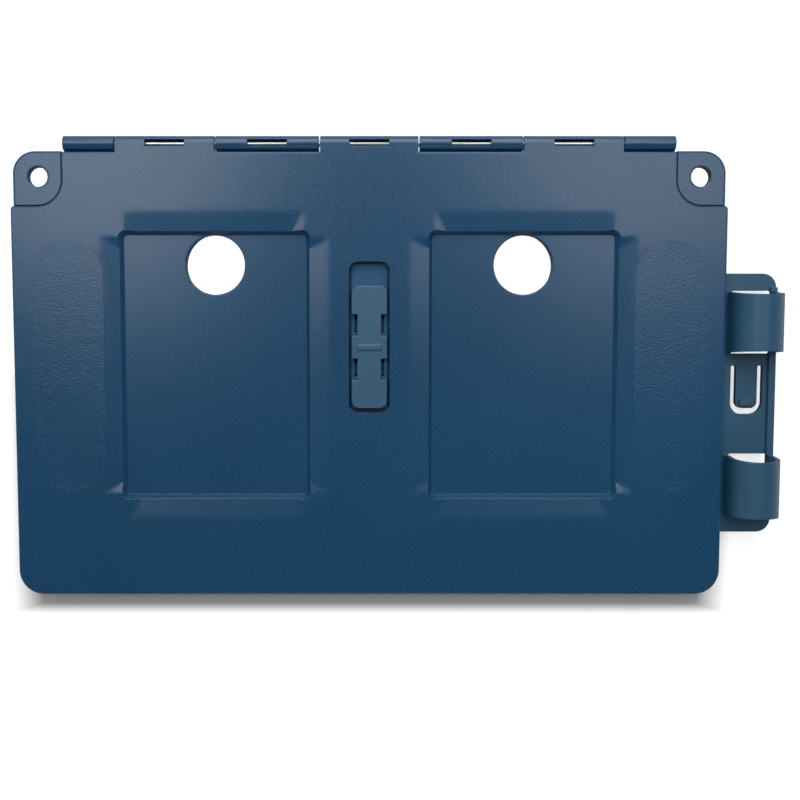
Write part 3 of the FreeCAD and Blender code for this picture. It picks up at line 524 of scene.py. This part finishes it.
def paint_recess_light_and_shade(material):
    """Darkens the latch recess with painted shade, and lightens its floor along the slider's path with
    painted light in faint streaks.
    """
    tree = material.node_tree
    colour = tree.nodes["Principled BSDF"].inputs["Base Color"]
    place = tree.nodes.new("ShaderNodeTexCoord").outputs["Object"]
    axes = split(tree, place)
    slider_low, slider_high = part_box("latch_slider")
    floor_z = lid_face - RECESS_DEPTH
    path_low = Vector((slider_low.x, slider_low.y, floor_z - RECESS_FLOOR_BAND))
    path_high = Vector((slider_high.x, slider_high.y + SLIDE_TRAVEL, floor_z + RECESS_FLOOR_BAND))
    gap = Vector((RECESS_SIDE_GAP, RECESS_END_GAP, 0))
    wall = Vector((0, 0, RECESS_WALL))
    recess = box_share(tree, axes, path_low - gap, path_high + gap + wall)
    # Painted shade: the whole recess, its walls and the gaps beside the slider are darkened.
    shade_share = calc(tree, "MULTIPLY", recess, PAINTED_SHADE_SHARE)
    lines = spread(tree, noise(tree, place, PAINTED_LIGHT_STREAKS), *PAINTED_LIGHT_SHARES)
    # Painted light: the floor along the slider's path is lightened, in faint streaks.
    light_share = calc(tree, "MULTIPLY", box_share(tree, axes, path_low, path_high), lines)
    shaded_colour = blend_colour(tree, shade_share, colour.links[0].from_socket, PAINTED_SHADE_COLOUR)
    tree.links.new(blend_colour(tree, light_share, shaded_colour, PAINTED_LIGHT_COLOUR), colour)


lid_plastic = moulded_plastic("lid_plastic", CASE_COLOUR, edge_round=lid_softness)
paint_recess_light_and_shade(lid_plastic)
dress(lid_plastic, "lid_shell")
for hand in ("left", "right"):
    print_sheet(f"lid_grid_{hand}", "lid", True)

# Grips: two areas of leather-like grain moulded into shallow beds of the lid, for the hands.
# Short pits run mostly across the case, and the areas have round ends.
GRIP_SPACING = 212.0 * MM
GRIP_CENTRE_Y = 3.4 * MM
GRIP_WIDTH = 25.7 * MM
GRIP_LENGTH = 88.9 * MM
GRIP_BED = 0.24 * MM
GRIP_SINK = 0.02 * MM
GRIP_STEP = 0.17 * MM
GRIP_EDGE = 0.02 * MM
GRAIN_SIZES = {
    "Grain Length": 0.80 * MM,
    "Grain Width": 0.34 * MM,
    "Grain Depth": 0.037 * MM,
}
GRAIN_DETAIL = 1.5
GRAIN_WANDER = 0.6
PIT_STARTS = 0.50
PIT_FULL = 0.66


def grain_tree():
    """Sinks short wandering pits into the top of a pad by a stretched noise."""
    tree, given = node_tree("grip_grain", GRAIN_SIZES)
    place = add_node(tree, "GeometryNodeInputPosition")
    size = add_node(tree, "ShaderNodeCombineXYZ", {
        "X": given["Grain Length"], "Y": given["Grain Width"], "Z": given["Grain Width"]})
    scaled = add_node(tree, "ShaderNodeVectorMath", {
        0: place.outputs["Position"], 1: size.outputs["Vector"]}, operation="DIVIDE")
    ridges = add_node(tree, "ShaderNodeTexNoise", {
        "Vector": scaled.outputs["Vector"], "Scale": 1.0, "Detail": GRAIN_DETAIL, "Distortion": GRAIN_WANDER})
    pits = add_node(tree, "ShaderNodeMapRange", {
        "Value": ridges.outputs["Fac"], "From Min": PIT_STARTS, "From Max": PIT_FULL,
        "To Min": 0.0, "To Max": -1.0}, interpolation_type="SMOOTHSTEP")
    top = add_node(tree, "GeometryNodeInputNamedAttribute", {"Name": "top"}, data_type="FLOAT")
    height = calc(tree, "MULTIPLY", pits.outputs["Result"], given["Grain Depth"])
    sunk = calc(tree, "MULTIPLY", height, top.outputs["Attribute"])
    offset = add_node(tree, "ShaderNodeCombineXYZ", {"Z": sunk})
    pitted = add_node(tree, "GeometryNodeSetPosition", {
        "Geometry": given["Geometry"], "Offset": offset.outputs["Vector"]})
    finish_tree(tree, pitted.outputs["Geometry"], given["Finish"])
    return tree


def grip_pad(name, centre_x):
    """A closed pad with round ends: rows of points on its top, a rim and a flat underside."""
    radius = GRIP_WIDTH / 2
    straight = GRIP_LENGTH / 2 - radius
    steps = round(2 * straight / GRIP_STEP)
    turns = round(radius * math.pi / 2 / GRIP_STEP)
    across = round(GRIP_WIDTH / GRIP_STEP)
    rows = [(straight * (2 * i / steps - 1), radius) for i in range(steps + 1)]
    for i in range(1, turns):
        angle = math.pi / 2 * i / turns
        end_y = straight + radius * math.sin(angle)
        half = radius * math.cos(angle)
        rows.append((end_y, half))
        rows.insert(0, (-end_y, half))
    points, faces, top = [], [], []
    for y, half in rows:
        for i in range(across + 1):
            share = 2 * i / across - 1
            points.append((centre_x + share * half, GRIP_CENTRE_Y + y, lid_face - GRIP_SINK))
            top.append(min(1.0, (1 - abs(share)) * half / GRIP_STEP))
    wide = across + 1
    last = len(rows) - 1
    for row in range(last):
        for i in range(across):
            first = row * wide + i
            faces.append((first, first + 1, first + wide + 1, first + wide))
    rim = list(range(wide))
    rim += [row * wide + across for row in range(1, last + 1)]
    rim += [last * wide + i for i in range(across - 1, -1, -1)]
    rim += [row * wide for row in range(last - 1, 0, -1)]
    base = len(points)
    for index in rim:
        x, y = points[index][:2]
        points.append((x, y, lid_face - GRIP_BED))
        top.append(0.0)
        top[index] = 0.0
    for i, index in enumerate(rim):
        ahead = (i + 1) % len(rim)
        faces.append((index, base + i, base + ahead, rim[ahead]))
    faces.append(tuple(base + i for i in range(len(rim) - 1, -1, -1)))
    mesh = bpy.data.meshes.new(name)
    mesh.from_pydata(points, [], faces)
    mesh.attributes.new("top", "FLOAT", "POINT").data.foreach_set("value", top)
    mesh.polygons.foreach_set("use_smooth", [max(face) < base for face in faces])
    return mesh


grip_plastic = moulded_plastic("grip_plastic", CASE_COLOUR, edge_round=GRIP_EDGE)
grip_grain = grain_tree()
for hand, side in (("left", -1), ("right", 1)):
    name = f"grip_{hand}"
    pad = grow(name, grip_pad(name, side * GRIP_SPACING / 2), grip_grain, GRAIN_SIZES, grip_plastic)
    show(name, pad, grip_plastic, "lid")

# Latch slider: a snapped-in plate in a lighter shade of the plastic, with a thumb ridge across its middle.
# It slides towards the hinge, and its foot then locks under the tray's keeper.
SLIDER_COLOUR = (0.0360, 0.1180, 0.2080)
SLIDER_ROUGHNESS = 0.34
dress(moulded_plastic("slider_plastic", SLIDER_COLOUR, SLIDER_ROUGHNESS), "latch_slider")

# Hinge pin: a drawn steel rod pushed through all seven knuckles from one end, which joins tray and lid.
# It is bare metal, with fine lines along its length, and shows in the knuckles' sight slots.
PIN_SHADES = ((0.50, 0.50, 0.49), (0.80, 0.80, 0.78))
PIN_LINES = (9.0 * MM, 0.12 * MM, 0.12 * MM)
PIN_LINE_DEPTH = 0.01 * MM
PIN_ROUGHNESS = (0.22, 0.36)
PIN_BRUSHING = 0.4
PIN_EDGE = 0.1 * MM
pin_steel, tree, shader, place = new_material("pin_steel")
shader.inputs["Metallic"].default_value = 1.0
shader.inputs["Anisotropic"].default_value = PIN_BRUSHING
drawn = noise(tree, place, PIN_LINES, detail=4.0)
tree.links.new(blend_colour(tree, drawn, *PIN_SHADES), shader.inputs["Base Color"])
tree.links.new(spread(tree, drawn, *PIN_ROUGHNESS), shader.inputs["Roughness"])
relief(tree, shader, drawn, PIN_LINE_DEPTH, PIN_EDGE)
dress(pin_steel, "hinge_pin")

# Marker holder: a separate moulding in smooth satin plastic, hooked into slots in the tray's right-hand wall.
# Two open loops take a slim marker, and the tongue between them presses on it.
HOLDER_COLOUR = (0.0195, 0.0930, 0.1740)
HOLDER_ROUGHNESS = 0.42
HOLDER_GRAIN = 0.5 * MM
HOLDER_GRAIN_DEPTH = 0.006 * MM
HOLDER_EDGE = 0.4 * MM
holder_plastic = moulded_plastic("holder_plastic", HOLDER_COLOUR, HOLDER_ROUGHNESS, HOLDER_GRAIN,
                                 HOLDER_GRAIN_DEPTH, HOLDER_EDGE)
dress(holder_plastic, "marker_holder")

# Studio: a pale floor that looks white, darker along the case's front and the front half of its sides by its
# real shadow and by painted shade, and four soft lamps.
# Two lamps hang high at the left and right, one lower behind the hinge, and a weak one fills from the front.
# The camera looks down on the middle of the case from a few degrees towards the hinge.
FLOOR_SIZE = 8.0
FLOOR_DROP = 0.2 * MM
FLOOR_GREY = 0.62
FLOOR_GLOW = 0.70
HOLE_MARGIN = 3 * MM
SIDE_SHADOW_INNER = 4 * MM
SIDE_SHADOW_OUTER = 8 * MM
FRONT_SHADOW_INNER = 7 * MM
FRONT_SHADOW_OUTER = 11 * MM
MIRROR_NEAR = 20 * MM
MIRROR_FAR = 80 * MM
MIRROR_GLOW = 0.55
SKY_LOW = 0.25
SKY_HIGH = 0.75
SKY_MIRROR_LOW = 0.45
SKY_MIRROR_HIGH = 0.03
SKY_AMBIENT = 0.18
HINGE_HALF = (0, 0.03, 0)
CASE_MIDDLE = (0, 0, 0)
CAMERA_PLACE = (0.0, 0.0231, 0.3464)
CAMERA_TILT = math.radians(-3.87)
CAMERA_LENS = 42.75
CAMERA_SENSOR = 36.0
CAMERA_SHIFT = (0.0384, -0.03125)
CAMERA_NEAR = 0.01


def ray_kinds(tree):
    """One for rays from the camera, and one for rays that metal or glass sends on."""
    rays = tree.nodes.new("ShaderNodeLightPath").outputs
    return rays["Is Camera Ray"], calc(tree, "MAXIMUM", rays["Is Glossy Ray"], rays["Is Transmission Ray"])


case_low, case_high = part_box("tray_shell")
edge = FLOOR_SIZE / 2
floor_mesh = bpy.data.meshes.new("floor")
floor_corners = [(x, y, -FLOOR_DROP) for x, y in ((-edge, -edge), (edge, -edge), (edge, edge), (-edge, edge))]
floor_mesh.from_pydata(floor_corners, [], [(0, 1, 2, 3)])
floor = bpy.data.objects.new("floor", floor_mesh)
bpy.context.scene.collection.objects.link(floor)

floor_white, tree, shader, place = new_material("floor_white")
floor_mesh.materials.append(floor_white)
shader.inputs["Base Color"].default_value = (FLOOR_GREY, FLOOR_GREY, FLOOR_GREY, 1)
shader.inputs["Roughness"].default_value = 1.0
shader.inputs["Specular IOR Level"].default_value = 0.0
shader.inputs["Emission Color"].default_value = (1, 1, 1, 1)
axes = split(tree, place)
out_x = calc(tree, "ABSOLUTE", axes["X"])
out_y = calc(tree, "ABSOLUTE", axes["Y"])
under = calc(tree, "MULTIPLY",
             calc(tree, "LESS_THAN", out_x, case_high.x - HOLE_MARGIN),
             calc(tree, "LESS_THAN", out_y, -case_low.y - HOLE_MARGIN))
# Painted shade: the floor's glow fades out beside and in front of the case, so that strip is darker on top of
# the real shadow there.
beside = remap(tree, out_x, case_high.x - SIDE_SHADOW_INNER, case_high.x + SIDE_SHADOW_OUTER)
front = remap(tree, axes["Y"], case_low.y - FRONT_SHADOW_OUTER, case_low.y - FRONT_SHADOW_INNER, 1.0, 0.0)
behind = calc(tree, "GREATER_THAN", axes["Y"], 0.0)
clear = calc(tree, "MAXIMUM", calc(tree, "MAXIMUM", beside, front), behind)
away = calc(tree, "MAXIMUM",
            calc(tree, "SUBTRACT", out_x, case_high.x),
            calc(tree, "SUBTRACT", out_y, case_high.y))
far = remap(tree, away, MIRROR_NEAR, MIRROR_FAR)
camera_rays, mirror_rays = ray_kinds(tree)
white = calc(tree, "MAXIMUM", calc(tree, "MULTIPLY", clear, FLOOR_GLOW), under)
seen = calc(tree, "MULTIPLY", camera_rays, white)
mirrored = calc(tree, "MULTIPLY", calc(tree, "MULTIPLY", mirror_rays, far), MIRROR_GLOW)
tree.links.new(calc(tree, "MAXIMUM", seen, mirrored), shader.inputs["Emission Strength"])

world = bpy.data.worlds.new("studio")
bpy.context.scene.world = world
world.use_nodes = True
tree = world.node_tree
sky = tree.nodes["Background"]
sky.inputs["Color"].default_value = (1, 1, 1, 1)
up = split(tree, tree.nodes.new("ShaderNodeTexCoord").outputs["Generated"])["Z"]
gradient = remap(tree, up, SKY_LOW, SKY_HIGH, SKY_MIRROR_LOW, SKY_MIRROR_HIGH)
camera_rays, mirror_rays = ray_kinds(tree)
mirrored = calc(tree, "MULTIPLY", mirror_rays, gradient)
ambient = calc(tree, "MULTIPLY", calc(tree, "SUBTRACT", 1.0, mirror_rays), SKY_AMBIENT)
strength = calc(tree, "MAXIMUM", camera_rays, calc(tree, "ADD", mirrored, ambient))
tree.links.new(strength, sky.inputs["Strength"])


def soft_lamp(name, place, target, size, power):
    """A square studio lamp that faces its target."""
    lamp = bpy.data.lights.new(name, "AREA")
    lamp.shape = "SQUARE"
    lamp.size = size
    lamp.energy = power
    stand = bpy.data.objects.new(name, lamp)
    bpy.context.scene.collection.objects.link(stand)
    stand.location = place
    stand.rotation_euler = (Vector(target) - Vector(place)).to_track_quat("-Z", "Y").to_euler()


soft_lamp("left_lamp", place=(-0.38, 0.27, 1.0), target=HINGE_HALF, size=0.4, power=1.66)
soft_lamp("right_lamp", place=(0.38, 0.27, 1.0), target=HINGE_HALF, size=0.4, power=1.34)
soft_lamp("back_lamp", place=(0.0, 0.56, 0.55), target=CASE_MIDDLE, size=0.6, power=3.9)
soft_lamp("front_fill", place=(0.0, -0.95, 0.95), target=CASE_MIDDLE, size=0.5, power=0.7)

camera = bpy.data.cameras.new("camera")
camera.lens = CAMERA_LENS
camera.sensor_width = CAMERA_SENSOR
camera.shift_x, camera.shift_y = CAMERA_SHIFT
camera.clip_start = CAMERA_NEAR
viewer = bpy.data.objects.new("camera", camera)
bpy.context.scene.collection.objects.link(viewer)
viewer.location = CAMERA_PLACE
viewer.rotation_euler = (CAMERA_TILT, 0, 0)
bpy.context.scene.camera = viewer
bpy.context.scene.view_settings.view_transform = "Standard"
